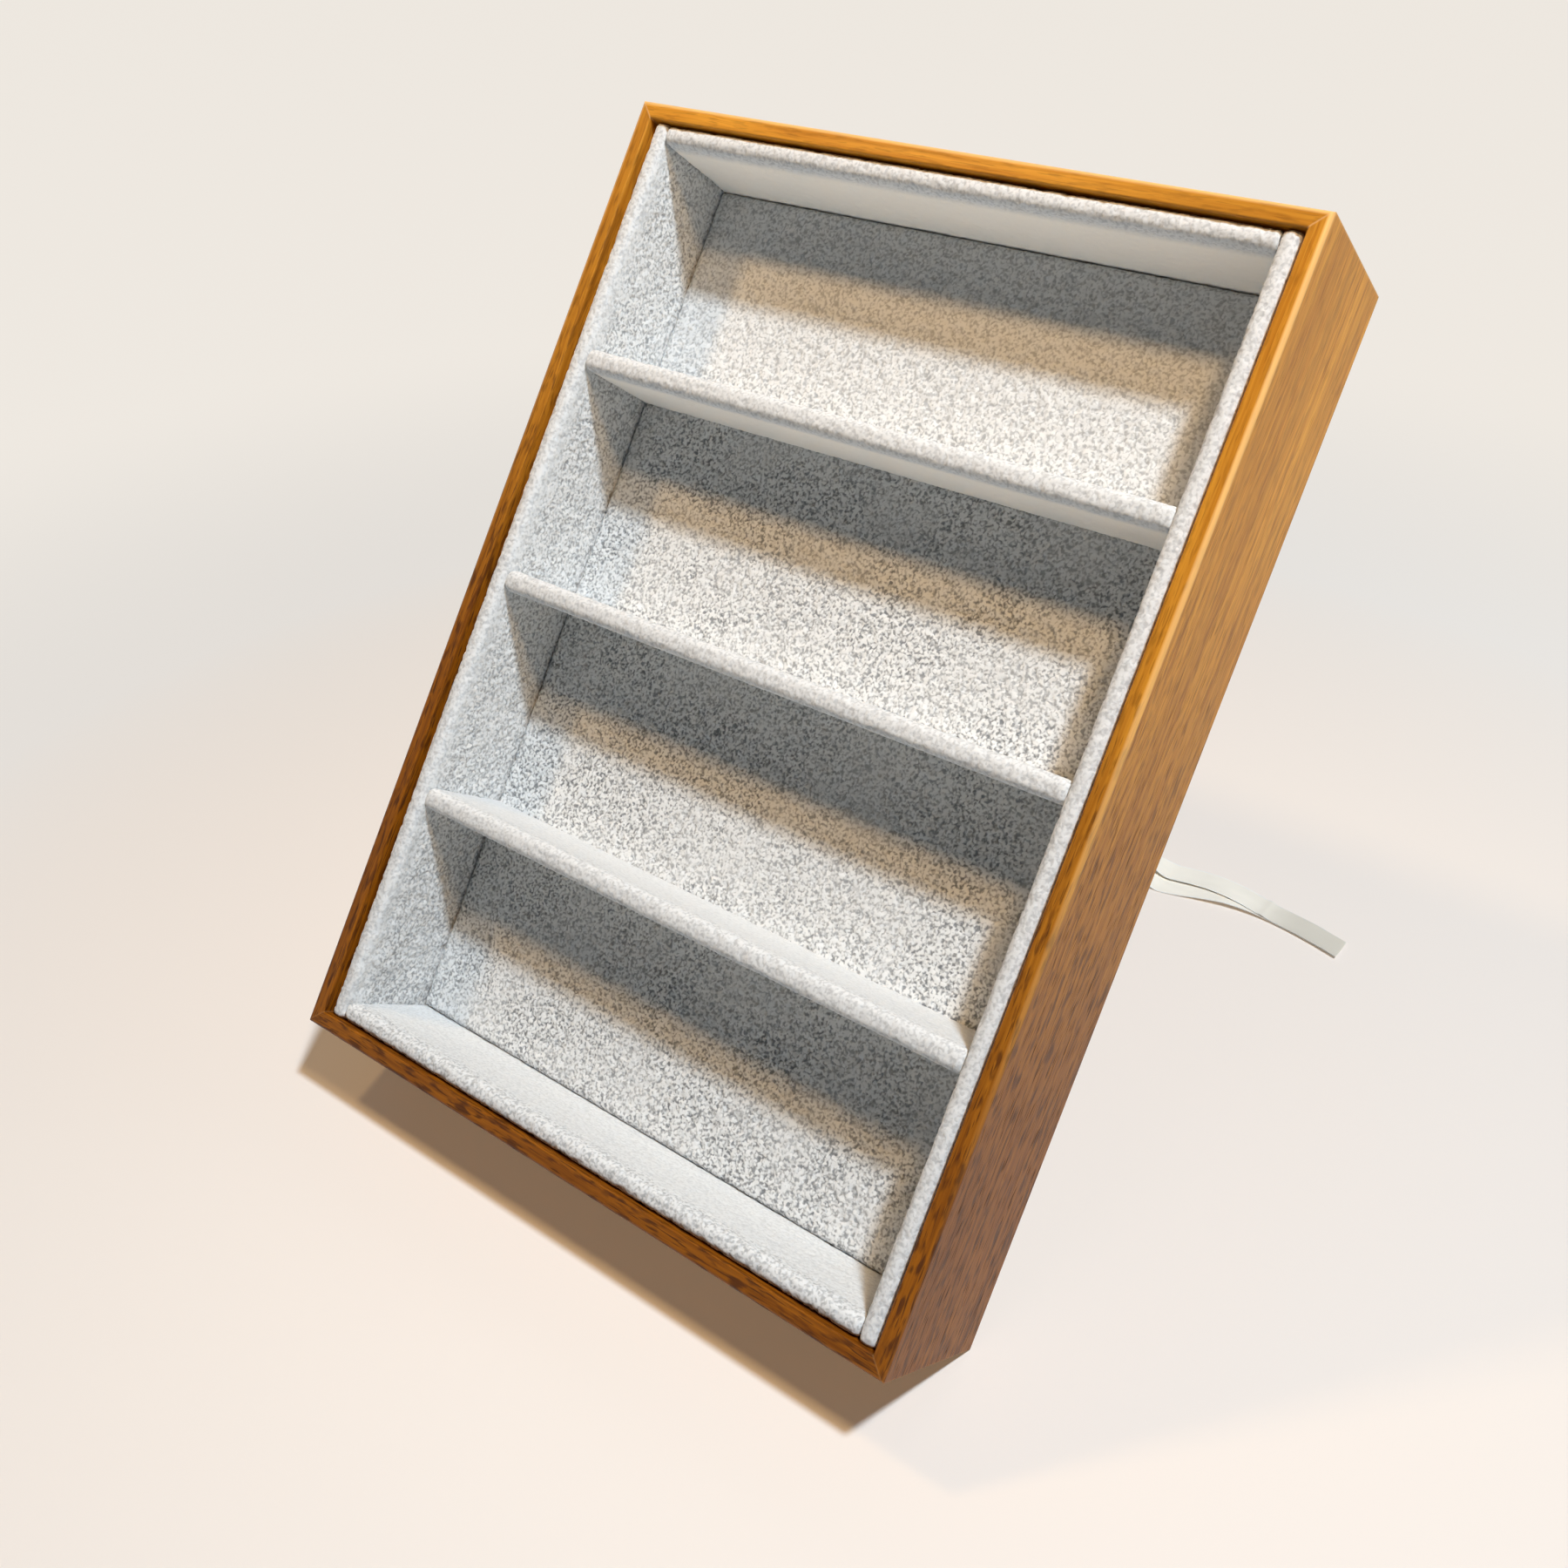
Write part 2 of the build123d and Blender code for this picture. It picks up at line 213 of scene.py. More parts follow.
def painted_light_share(tree):
    """How much painted light lies on the film, from 0 at the lower left to 1 at the upper right."""
    place = add_node(tree, "SeparateXYZ", {0: millimetres(tree, to_case)})
    height = add_node(tree, "Math", {
        0: place.outputs["X"], 1: 0.3, 2: place.outputs["Z"],
    }, operation="MULTIPLY_ADD")
    share = add_node(tree, "MapRange", {
        "Value": height.outputs[0], "From Min": 60.0, "From Max": 290.0,
    }, interpolation_type="SMOOTHSTEP")
    return share.outputs[0]


def distances(tree):
    """How far a point lies from the case's nearer side, its nearer end and its front, in millimetres."""
    place = add_node(tree, "SeparateXYZ", {0: millimetres(tree, to_case)})
    middle = case_height / mm / 2
    side = add_node(tree, "Math", {0: place.outputs["X"]}, operation="ABSOLUTE")
    side = add_node(tree, "Math", {0: case_width / mm / 2, 1: side.outputs[0]}, operation="SUBTRACT")
    end = add_node(tree, "Math", {0: place.outputs["Z"], 1: middle}, operation="SUBTRACT")
    end = add_node(tree, "Math", {0: end.outputs[0]}, operation="ABSOLUTE")
    end = add_node(tree, "Math", {0: middle, 1: end.outputs[0]}, operation="SUBTRACT")
    return side.outputs[0], end.outputs[0], place.outputs["Y"]


def mitre_line(tree):
    """How pale the film's cut edge shows: only within 0.3 mm of a mitre, and most where light is painted in."""
    side, end, _ = distances(tree)
    gap = add_node(tree, "Math", {0: side, 1: end}, operation="SUBTRACT")
    gap = add_node(tree, "Math", {0: gap.outputs[0]}, operation="ABSOLUTE")
    strength = add_node(tree, "MapRange", {"Value": painted_light_share(tree), "To Min": 0.12, "To Max": 0.5})
    share = add_node(tree, "MapRange", {
        "Value": gap.outputs[0], "From Min": 0.15, "From Max": 0.45,
        "To Min": strength.outputs[0], "To Max": 0.0,
    })
    return share.outputs[0]


def painted_edge_highlight(tree):
    """The painted highlight on the round of the outer front edge, which is 1.2 mm in radius, strongest where light
    is painted in.
    """
    side, end, front = distances(tree)
    outside = add_node(tree, "Math", {0: side, 1: end}, operation="MINIMUM")
    off_edge = add_node(tree, "Math", {0: outside.outputs[0], 1: front}, operation="ADD")
    share = add_node(tree, "MapRange", {
        "Value": off_edge.outputs[0], "From Min": 0.8, "From Max": 1.5, "To Min": 0.6, "To Max": 0.0,
    })
    share = add_node(tree, "Math", {0: share.outputs[0], 1: painted_light_share(tree)}, operation="MULTIPLY")
    return share.outputs[0]


upright = Matrix.Rotation(math.radians(90), 4, "Y") @ to_case
wear(["wall_top", "wall_bottom"], wood_film("wood-grain film, lying boards", to_case, mitred=True))
wear(["wall_left", "wall_right"], wood_film("wood-grain film, upright boards", upright, mitred=True))

# Battens: planed pine sticks glued inside the walls, which carry the floor and the back panel.
# Pale early wood with darker late-wood lines along each stick.
lying_battens = ["batten_top", "batten_bottom", "batten_hinge"]
upright_battens = ["batten_left", "batten_right"]


def pine(name, placing):
    material, tree, shader = new_material(name, Roughness=0.62)
    place = millimetres(tree, placing)
    rings = add_node(tree, "TexNoise", {"Vector": stretched(tree, place, 90, 2.4), "Scale": 1, "Detail": 2})
    share = add_node(tree, "MapRange", {"Value": rings.outputs[0], "From Min": 0.45, "From Max": 0.62})
    colour = add_node(tree, "Mix", {
        0: share.outputs[0], 6: paint("#DDBD8A"), 7: paint("#B98D55"),
    }, data_type="RGBA")
    tree.links.new(colour.outputs[2], shader.inputs["Base Color"])
    relief = add_node(tree, "Bump", {"Height": share.outputs[0], "Distance": 0.05 * mm})
    tree.links.new(relief.outputs[0], shader.inputs["Normal"])
    return material


wear(lying_battens, pine("planed pine, lying sticks", to_case))
wear(upright_battens, pine("planed pine, upright sticks", upright))

# Lining, divider and floor boards: medium-density fibreboard, cut square. The plush hides all but
# their rear edges, which show the board's fine brown fibre.
board_names = [name for name in nodes if "_board" in name and name != "leg_board"]


def fibreboard():
    material, tree, shader = new_material("medium-density fibreboard", Roughness=0.85)
    place = millimetres(tree, to_case)
    # Fibres 0.6 mm wide
    fibre = add_node(tree, "TexNoise", {"Vector": place, "Scale": 1.6, "Detail": 3})
    share = add_node(tree, "MapRange", {"Value": fibre.outputs[0], "From Min": 0.35, "From Max": 0.65})
    colour = add_node(tree, "Mix", {
        0: share.outputs[0], 6: paint("#8A6E50"), 7: paint("#A98C69"),
    }, data_type="RGBA")
    tree.links.new(colour.outputs[2], shader.inputs["Base Color"])
    relief = add_node(tree, "Bump", {"Height": fibre.outputs[0], "Distance": 0.08 * mm})
    tree.links.new(relief.outputs[0], shader.inputs["Normal"])
    return material


wear(board_names, fibreboard())

# Plush linings and dividers: warp-knit plush, light grey, with a short curled pile on a thin
# backing. Each piece is cut flat, drawn round the front edge of its board and glued. The pile
# lies as small curled ridges with shade painted into the gaps between them, and is smoother on brushed faces.
pile_spacing = 2.1
pile_height = 0.5
mean_pile = 0.62
pile_seed = 1
drift_scale, pile_drift = 0.55, 0.7
ridge_width = 0.42
fine_scale, fine_curl = 2.3, 0.35
wrap_mesh = 0.6
lip_radius = 2.5
lip_start = 0.85
lip_fade = 0.12
plush_thickness = 1.6
end_rounding = 1.6
end_recess = 0.7
brushed_flat = 0.7
clump_spacing = 5
clump_height = 0.9


def limited(share):
    return max(0.0, min(1.0, share))


# The drift's noise takes its start from the clock unless it has a seed
noise.seed_set(pile_seed)


def curl(x, y, seed):
    """The pile's height at a point of the cloth in millimetres, from 0 in a gap to 1 on a ridge."""
    point = Vector((x / pile_spacing, y / pile_spacing, seed))
    drift = noise.noise_vector(point * drift_scale) * pile_drift
    value = noise.noise(point + drift) / ridge_width
    fine = noise.noise(point * fine_scale + Vector((7, 3, seed))) * fine_curl
    return limited(1.0 - value * value + fine)


def plush():
    material, tree, shader = new_material(
        "curled plush", Roughness=0.95, Sheen_Weight=0.3, Sheen_Roughness=0.4,
    )
    shader.inputs["Specular IOR Level"].default_value = 0.1
    place = millimetres(tree, Matrix())
    # Curls about 1.5 mm apart, turned off the cloth's own axes
    curls = add_node(tree, "Mapping", {
        "Vector": place, "Rotation": [math.radians(angle) for angle in (31, 17, 23)],
    })
    curls = add_node(tree, "TexNoise", {
        "Vector": curls.outputs["Vector"], "Scale": 1.08, "Detail": 0.5, "Distortion": 0.4,
    })
    curl_share = add_node(tree, "MapRange", {"Value": curls.outputs[0], "From Min": 0.31, "From Max": 0.59})
    pile = add_node(tree, "Attribute", attribute_name="pile")
    height = add_node(tree, "Math", {0: pile.outputs["Fac"], 1: 0.22}, operation="MULTIPLY")
    height = add_node(tree, "Math", {
        0: curl_share.outputs[0], 1: 0.78, 2: height.outputs[0],
    }, operation="MULTIPLY_ADD")
    share = add_node(tree, "MapRange", {"Value": height.outputs[0], "From Min": 0.1, "From Max": 0.9})
    # Brushed faces lie smooth, and so do patches of about 20 mm elsewhere
    brushed = add_node(tree, "Attribute", attribute_name="brushed")
    nap = add_node(tree, "TexNoise", {"Vector": place, "Scale": 0.045, "Detail": 2})
    nap_share = add_node(tree, "MapRange", {
        "Value": nap.outputs[0], "From Min": 0.38, "From Max": 0.66, "To Max": 0.4,
    })
    smooth = add_node(tree, "Math", {
        0: nap_share.outputs[0], 1: brushed.outputs["Fac"],
    }, operation="MAXIMUM")
    share = add_node(tree, "Mix", {0: smooth.outputs[0], 2: share.outputs[0], 3: 0.9})
    # Shade is painted into the gaps between curls, which are drawn darker than the ridges
    colour = add_node(tree, "Mix", {
        0: share.outputs[0], 6: paint("#7A7D80"), 7: paint("#E4E6E6"),
    }, data_type="RGBA")
    # Faces that look down are painted whiter, for light thrown back up onto them from the floors below
    bounce_whitened = add_node(tree, "Attribute", attribute_name="bounce_whitened")
    colour = add_node(tree, "Mix", {
        0: bounce_whitened.outputs["Fac"], 6: colour.outputs[2], 7: paint("#FFFAF1"),
    }, data_type="RGBA")
    tree.links.new(colour.outputs[2], shader.inputs["Base Color"])
    # Fibres 0.3 mm wide, drawn as coarse as they need to show
    fibres = add_node(tree, "TexNoise", {"Vector": place, "Scale": 3.0, "Detail": 1})
    relief = add_node(tree, "Math", {
        0: fibres.outputs[0], 1: 0.3, 2: share.outputs[0],
    }, operation="MULTIPLY_ADD")
    relief = add_node(tree, "Bump", {"Height": relief.outputs[0], "Distance": 0.25 * mm, "Strength": 0.32})
    tree.links.new(relief.outputs[0], shader.inputs["Normal"])
    return material


plush_material = plush()


def wrap_path(depth, thickness):
    """Points, outward directions and distances round a wrapped board's section, from its rear round
    its front to its rear at even steps, then back along the backing, and the whole way round.
    The section's first axis runs to the rear."""
    flat = depth - lip_radius
    front = thickness - 2 * lip_radius
    arc = lip_radius * math.pi / 2
    total = 2 * flat + 2 * arc + front
    steps = round(total / wrap_mesh)
    path = []
    for step in range(steps + 1):
        along = step * total / steps
        if along <= flat:
            path.append((depth - along, 0, 0, -1, along))
        elif along <= flat + arc:
            angle = (along - flat) / lip_radius
            path.append((
                lip_radius - lip_radius * math.sin(angle),
                lip_radius - lip_radius * math.cos(angle),
                -math.sin(angle), -math.cos(angle), along,
            ))
        elif along <= flat + arc + front:
            path.append((0, lip_radius + along - flat - arc, -1, 0, along))
        elif along <= flat + 2 * arc + front:
            angle = (along - flat - arc - front) / lip_radius
            path.append((
                lip_radius - lip_radius * math.cos(angle),
                thickness - lip_radius + lip_radius * math.sin(angle),
                -math.cos(angle), math.sin(angle), along,
            ))
        else:
            path.append((along - total + depth, thickness, 0, 1, along))
    inner = thickness - plush_thickness
    for point in ((depth, inner), (plush_thickness, inner), (plush_thickness, plush_thickness),
                  (depth, plush_thickness), (depth, 0)):
        path.append((*point, 0, 0, 0))
    return path, total


def write_attribute(cloth, name, values):
    cloth.data.attributes.new(name, "FLOAT", "POINT").data.foreach_set("value", values)


def fresh_grid(name, columns, rows):
    bpy.ops.object.select_all(action="DESELECT")
    bpy.ops.mesh.primitive_grid_add(x_subdivisions=columns, y_subdivisions=rows, size=2)
    cloth = bpy.context.object
    cloth.name = name
    cloth.data.name = name
    return cloth


def close_cloth(cloth):
    bpy.ops.object.mode_set(mode="EDIT")
    bpy.ops.mesh.select_all(action="SELECT")
    bpy.ops.mesh.remove_doubles(threshold=0.01 * mm)
    bpy.ops.mesh.select_all(action="SELECT")
    bpy.ops.mesh.fill_holes(sides=0)
    bpy.ops.mesh.select_all(action="SELECT")
    bpy.ops.mesh.normals_make_consistent(inside=False)
    bpy.ops.object.mode_set(mode="OBJECT")
    bpy.ops.object.shade_smooth()


def plush_wrap(node, seed, face_brush, lip_brush, matted=0.0):
    """A wrap on its board, its pile brushed smooth by a share of 0 to 1 on the faces and on the lip.
    Up to `matted` millimetres from its foot the pile is drawn darker, most at the foot, and matted into clumps on
    the bay's side."""
    low, high = (corner / mm for corner in case_box(node))
    lengthwise, through = (0, 2) if high.x - low.x > high.z - low.z else (2, 0)
    length = high[lengthwise] - low[lengthwise]
    path, cut_width = wrap_path(high.y - low.y, high[through] - low[through])
    columns = round(length / wrap_mesh)
    rows = len(path) - 1
    cloth = fresh_grid(node + "_cloth", columns, rows)
    flat = high.y - low.y - lip_radius
    heights = []
    brushing = []
    bounce_whitening = []
    for vertex in cloth.data.vertices:
        along = (vertex.co.x + 1) / 2 * length
        to_rear, out, rear_way, out_way, at = path[round((vertex.co.y + 1) / 2 * rows)]
        outer = rear_way or out_way
        height = curl(along, at, seed) if outer else 0.5
        on_lip = limited((min(at, cut_width - at) / flat - lip_start) / lip_fade)
        brush = face_brush + (lip_brush - face_brush) * on_lip
        lift = (height - mean_pile) * pile_height * (1 - brushed_flat * brush) if outer else 0
        matting = max(0.0, 1 - along / matted) if matted and outer else 0
        clump = noise.noise(Vector((along / clump_spacing, at / clump_spacing, seed + 0.5)))
        lift += matting * max(0.0, out_way) * clump_height * clump
        # The pile rounds the cloth off where it ends
        near_end = max(0.0, 1 - min(along, length - along) / end_rounding)
        recede = end_recess * (1 - math.sqrt(1 - near_end * near_end)) if outer else 0
        point = Vector((0, 0, 0))
        point[lengthwise] = low[lengthwise] + along
        point.y = low.y + to_rear + rear_way * (lift - recede)
        point[through] = low[through] + out + out_way * (lift - recede)
        vertex.co = from_case @ (point * mm)
        # Towards the foot of a matted wrap the pile is drawn darker
        heights.append(height * (1 - matting))
        brushing.append(brush)
        # Painted light: faces that look down are drawn whiter
        bounce_whitening.append(max(0.0, -out_way) * (1 - on_lip) if through == 2 else 0.0)
    write_attribute(cloth, "pile", heights)
    write_attribute(cloth, "bounce_whitened", bounce_whitening)
    write_attribute(cloth, "brushed", brushing)
    close_cloth(cloth)
    cloth.data.materials.append(plush_material)
    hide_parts(node)
    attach(cloth, "case")


for seed, side in enumerate(("top", "bottom", "left", "right")):
    upright_side = side in ("left", "right")
    plush_wrap(
        "lining_plush_" + side, 10 * seed, face_brush=0.25 if upright_side else 0.8,
        lip_brush=0.45 if side == "bottom" else 0.65, matted=140 if side == "left" else 0,
    )
for number in (1, 2, 3):
    plush_wrap(f"divider_plush_{number}", 50 + 10 * number, face_brush=0.85, lip_brush=0.65)

# Floor plush: one flat piece of the same plush, glued on the floor board and cut to fit between
# the linings. Its pile droops at the cut edges, which leaves a seam along the linings with shade
# painted into it. It is drawn smoother and paler in the top compartment.
floor_mesh = 0.76
floor_seed = 100
droop_width = 1.6
droop = 0.9
top_brush = 0.45
smooth_from = 200
smooth_fade = 25


def floor_cloth(node):
    low, high = (corner / mm for corner in case_box(node))
    width, length = high.x - low.x, high.z - low.z
    cloth = fresh_grid(node + "_cloth", round(width / floor_mesh), round(length / floor_mesh))
    heights = []
    brushing = []
    for vertex in cloth.data.vertices:
        x = (vertex.co.x + 1) / 2 * width
        z = (vertex.co.y + 1) / 2 * length
        height = curl(x, z, floor_seed)
        edge = max(0.0, 1 - min(x, width - x, z, length - z) / droop_width)
        lift = (height - mean_pile) * pile_height - droop * edge * edge
        vertex.co = from_case @ (Vector((low.x + x, low.y - lift, low.z + z)) * mm)
        # Shade is painted into the drooping edge, where the pile is drawn darker
        heights.append(height * (1 - edge))
        # Smoother and paler towards the top compartment
        brushing.append(top_brush * limited((z - smooth_from) / smooth_fade))
    write_attribute(cloth, "pile", heights)
    write_attribute(cloth, "brushed", brushing)
    bpy.ops.object.mode_set(mode="EDIT")
    bpy.ops.mesh.select_all(action="DESELECT")
    bpy.ops.mesh.select_non_manifold()
    bpy.ops.mesh.extrude_region_move()
    bpy.ops.object.mode_set(mode="OBJECT")
    for vertex in cloth.data.vertices:
        if vertex.select:
            place = to_case @ vertex.co
            place.y = high.y * mm
            vertex.co = from_case @ place
    close_cloth(cloth)
    cloth.data.materials.append(plush_material)
    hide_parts(node)
    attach(cloth, "case")


floor_cloth("floor_plush")

# Back panel: hardboard faced with dark brown paper, set between the walls and screwed on. The
# paper is matt, with a faint mottle and short fibres.


def brown_paper():
    material, tree, shader = new_material("hardboard with a brown paper face", Roughness=0.7)
    place = millimetres(tree, to_case)
    # A mottle 14 mm across and fibres 0.8 mm wide
    mottle = add_node(tree, "TexNoise", {"Vector": place, "Scale": 0.07, "Detail": 4})
    fibre = add_node(tree, "TexNoise", {"Vector": place, "Scale": 1.3, "Detail": 3})
    share = add_node(tree, "Math", {0: mottle.outputs[0], 1: fibre.outputs[0]}, operation="MULTIPLY")
    share = add_node(tree, "MapRange", {"Value": share.outputs[0], "From Min": 0.16, "From Max": 0.36})
    colour = add_node(tree, "Mix", {
        0: share.outputs[0], 6: paint("#33261D"), 7: paint("#4A382B"),
    }, data_type="RGBA")
    tree.links.new(colour.outputs[2], shader.inputs["Base Color"])
    relief = add_node(tree, "Bump", {"Height": fibre.outputs[0], "Distance": 0.06 * mm})
    tree.links.new(relief.outputs[0], shader.inputs["Normal"])
    return material


wear(["back_panel"], brown_paper())

# Bracket, pin and screws: pressed and turned steel, plated with zinc. The plating is bright and
# slightly blue, with a soft crystal mottle, and the tools leave fine scratches.


def zinc_plate():
    material, tree, shader = new_material("zinc-plated steel", Metallic=1.0, Roughness=0.34)
    place = millimetres(tree, to_case)
    # Crystals 1.2 mm and scratches 0.35 mm wide, drawn as coarse as they need to show
    crystals = add_node(tree, "TexVoronoi", {"Vector": place, "Scale": 0.8})
    share = add_node(tree, "SeparateColor", {0: crystals.outputs["Color"]})
    colour = add_node(tree, "Mix", {
        0: share.outputs[0], 6: paint("#A9ABB0"), 7: paint("#C6C8CB"),
    }, data_type="RGBA")
    tree.links.new(colour.outputs[2], shader.inputs["Base Color"])
    scratches = add_node(tree, "TexNoise", {
        "Vector": stretched(tree, place, 9, 0.35), "Scale": 1, "Detail": 2,
    })
    gloss = add_node(tree, "MapRange", {"Value": scratches.outputs[0], "To Min": 0.24, "To Max": 0.48})
    tree.links.new(gloss.outputs[0], shader.inputs["Roughness"])
    return material


zinc = zinc_plate()
wear(["leg_bracket", "leg_pin"], zinc)

# Screws: six countersunk ones hold the back panel and four pan-headed ones the bracket. They are
# cold-formed in steel and zinc plated, and each head has a pressed cross recess.
screw_reach = 7
recess_length = 3.1
recess_width = 0.85
recess_depth = 1.1
blade_proud = 0.2
blade_tip = 0.34
blade_top = math.sqrt(0.5)
stop_turn = 37


def screw_tops(node):
    """The middle of each screw's head, in case coordinates and millimetres."""
    screws = []
    for corner in points_in(to_case, [node]):
        corner = corner / mm
        for screw in screws:
            if math.hypot(screw[0].x - corner.x, screw[0].z - corner.z) < screw_reach:
                screw.append(corner)
                break
        else:
            screws.append([corner])
    ends = [corners_of(screw) for screw in screws]
    return [Vector(((low.x + high.x) / 2, high.y, (low.z + high.z) / 2)) for low, high in ends]


def driver_blades(node, quarter):
    """One tapered blade in each screw's head, as one object. Each screw stopped at its own turn.
    A blade starts as a four-sided cone whose top, turned by 45 degrees, is a unit square."""
    bpy.ops.object.select_all(action="DESELECT")
    blades = []
    reach = recess_depth + blade_proud
    for number, top in enumerate(screw_tops(node)):
        bpy.ops.mesh.primitive_cone_add(vertices=4, radius1=blade_tip, radius2=blade_top, depth=1)
        blade = bpy.context.object
        sink = Vector((0, blade_proud - reach / 2, 0))
        turn = math.radians(stop_turn * number + quarter)
        blade.matrix_world = (
            from_case @ Matrix.Translation((top + sink) * mm) @ Matrix.Rotation(math.radians(-90), 4, "X")
            @ Matrix.Rotation(turn, 4, "Z")
            @ Matrix.Diagonal((recess_length * mm, recess_width * mm, reach * mm, 1))
            @ Matrix.Rotation(math.radians(45), 4, "Z")
        )
        blades.append(blade)
    for blade in blades:
        blade.select_set(True)
    bpy.context.view_layer.objects.active = blades[0]
    bpy.ops.object.join()
    return bpy.context.object


def recessed_screws(node):
    bpy.ops.object.select_all(action="DESELECT")
    screws = bpy.data.objects.new(node + "_recessed", nodes[node].data.copy())
    bpy.context.scene.collection.objects.link(screws)
    screws.select_set(True)
    bpy.context.view_layer.objects.active = screws
    bpy.ops.object.mode_set(mode="EDIT")
    bpy.ops.mesh.select_all(action="SELECT")
    bpy.ops.mesh.remove_doubles(threshold=0.001 * mm)
    bpy.ops.object.mode_set(mode="OBJECT")
    for quarter in (0, 90):
        blades = driver_blades(node, quarter)
        recess = screws.modifiers.new("recess", "BOOLEAN")
        recess.operation = "DIFFERENCE"
        recess.object = blades
        bpy.context.view_layer.objects.active = screws
        bpy.ops.object.modifier_apply(modifier="recess")
        bpy.data.objects.remove(blades)
    screws.data.materials.clear()
    screws.data.materials.append(zinc)
    bpy.ops.object.select_all(action="DESELECT")
    screws.select_set(True)
    bpy.ops.object.shade_smooth_by_angle(angle=math.radians(30))
    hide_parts(node)
    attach(screws, "case")


recessed_screws("back_screws")
recessed_screws("bracket_screws")

# Leg: a fibreboard strut wrapped in the same film as the walls, its grain running down to the foot.
# It turns on the bracket's pin, and its film has none of the walls' painted light.
leg_hinge = next(joint for joint in frame["joints"] if joint["name"] == "leg_hinge")
hinge_point = Vector(leg_hinge["pos_m"])
foot_point = Vector(
    next(mount["pos_m"] for mount in frame["record"]["mounts"] if mount["name"] == "leg_foot")
)
down_the_leg = (foot_point - hinge_point).normalized()
along_the_leg = Matrix((down_the_leg, across.cross(down_the_leg), across)).to_4x4()
wear(["leg_board"], wood_film("wood-grain film, leg", along_the_leg, mitred=False))

# Rivet and washer: steel with a bright and slightly warm nickel plating. The rivet's head holds
# the washer and the ribbon's two ends on the leg's rear face, and it is clinched on the front one.


def nickel_plate():
    material, tree, shader = new_material("nickel-plated steel", Metallic=1.0, Roughness=0.2)
    place = millimetres(tree, Matrix())
    # Smears 1 mm across
    smear = add_node(tree, "TexNoise", {"Vector": place, "Scale": 0.9, "Detail": 3})
    colour = add_node(tree, "Mix", {
        0: smear.outputs[0], 6: paint("#C9C2B6"), 7: paint("#DBD6CC"),
    }, data_type="RGBA")
    tree.links.new(colour.outputs[2], shader.inputs["Base Color"])
    gloss = add_node(tree, "MapRange", {"Value": smear.outputs[0], "To Min": 0.14, "To Max": 0.32})
    tree.links.new(gloss.outputs[0], shader.inputs["Roughness"])
    return material


wear(["ribbon_rivet", "ribbon_washer"], nickel_plate())

# Ribbon: white single-face satin, 10 mm wide, folded double at its free end so that it makes a loop
# to pull the leg by. It leaves the leg's rear face, turns over as it drops to the table and lies
# in a slight bow. Its two plies part a little towards the box. All in millimetres.
ribbon_width = 10.0
ribbon_ply = 0.22
ply_spacing = 0.38
anchor_height = 14.0
leg_half_thickness = 4.0
ribbon_stack = 0.95
# The drop, and the bow and the low arch on the table
drop_start, drop_end = 21.0, 48.0
table_bow = 5.5
table_offset = 4.4
table_gap = 0.1
arch_height = 1.5
arch_share = 0.7
# Where the plies part and join again, and how far each strays
part_start, part_full = 21.0, 43.0
join_start, join_end = 48.0, 90.0
upper_stray, lower_stray = 6.0, -2.2
upper_lift = 0.7
# A crease across the upper ply, the curled edges, the waves and the painted shade on the folded end
crease_at = 86.0
crease_height = 0.45
crease_width = 1.3
edge_curl = 0.5
curl_start, curl_end = 70.0, 105.0
wave_height = 0.14
wave_length = 7
end_shade_start, end_shade_end = 74.0, 100.0
ribbon_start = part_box("pull_ribbon")[0][0] / mm
ribbon_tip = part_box("pull_ribbon")[1][0] / mm
leg_up = -down_the_leg
leg_out = across.cross(down_the_leg)
leg_face = foot_point / mm + anchor_height * leg_up + (leg_half_thickness + ribbon_stack / 2) * leg_out
face_turn = math.degrees(math.atan2(leg_up.z, leg_up.y))
table_line = foot_point.y / mm + table_offset
table_level = table_gap + (ply_spacing + ribbon_ply) / 2


def ease(x, start, end):
    """0 before the start, 1 past the end, and a smooth step between them."""
    share = limited((x - start) / (end - start))
    return share * share * (3 - 2 * share)


def ribbon_line(x, upper):
    """The ribbon's middle at x, the direction of its width and the way that its shiny face looks."""
    dropped = ease(x, drop_start, drop_end)
    on_table = max(0.0, (x - drop_end) / (ribbon_tip - drop_end))
    parted = ease(x, part_start, part_full) * (1 - ease(x, join_start, join_end))
    y = leg_face.y + dropped * (table_line - leg_face.y) + table_bow * math.sin(math.pi * on_table)
    y += (upper_stray if upper else lower_stray) * parted
    z = leg_face.z + dropped * (table_level - leg_face.z)
    z += arch_height * math.sin(math.pi * min(1.0, on_table / arch_share)) ** 2
    if upper:
        z += upper_lift * parted + crease_height * math.exp(-((x - crease_at) / crease_width) ** 2)
    turn = math.radians(face_turn + dropped * (180 - face_turn))
    width_way = Vector((0, math.cos(turn), math.sin(turn)))
    face_way = Vector((0, math.sin(turn), -math.cos(turn)))
    return Vector((x, y, z)), width_way, face_way


